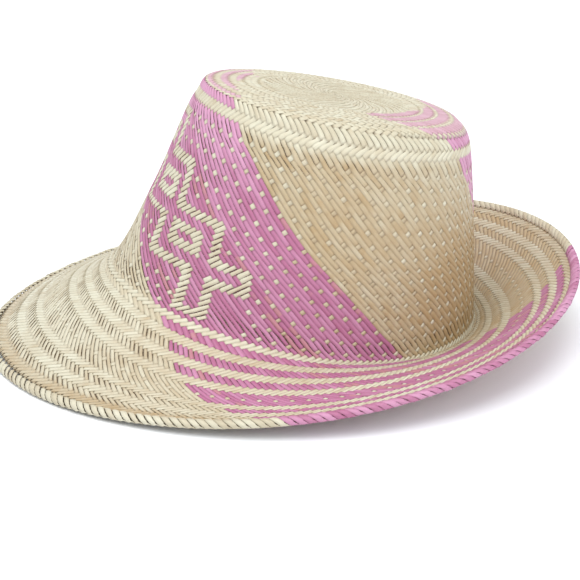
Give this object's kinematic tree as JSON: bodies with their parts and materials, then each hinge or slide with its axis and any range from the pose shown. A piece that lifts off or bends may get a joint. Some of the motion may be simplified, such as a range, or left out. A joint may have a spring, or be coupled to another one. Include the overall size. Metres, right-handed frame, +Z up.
{
  "type": "sun hat",
  "caption": "Woven straw sun hat with a tapered flat-topped crown, a wide brim bent down in front and turned up behind, and a plaited edge.",
  "frame": {"origin": "on the surface the hat rests on, under the middle of the whole hat", "axes": "+Z up, -Y towards the front of the hat, +X towards the wearer's left"},
  "size_m": [0.3234, 0.3458, 0.147],
  "materials": {
    "straw": "flat split straw in its natural pale colour, woven on the bias with strands dyed pink",
    "edge_straw": "flat straw strands turned back and plaited along the edge, part natural and part pink"
  },
  "bodies": {
    "root": {"woven_body": "straw", "edge_plait": "edge_straw"}
  },
  "joints": []
}
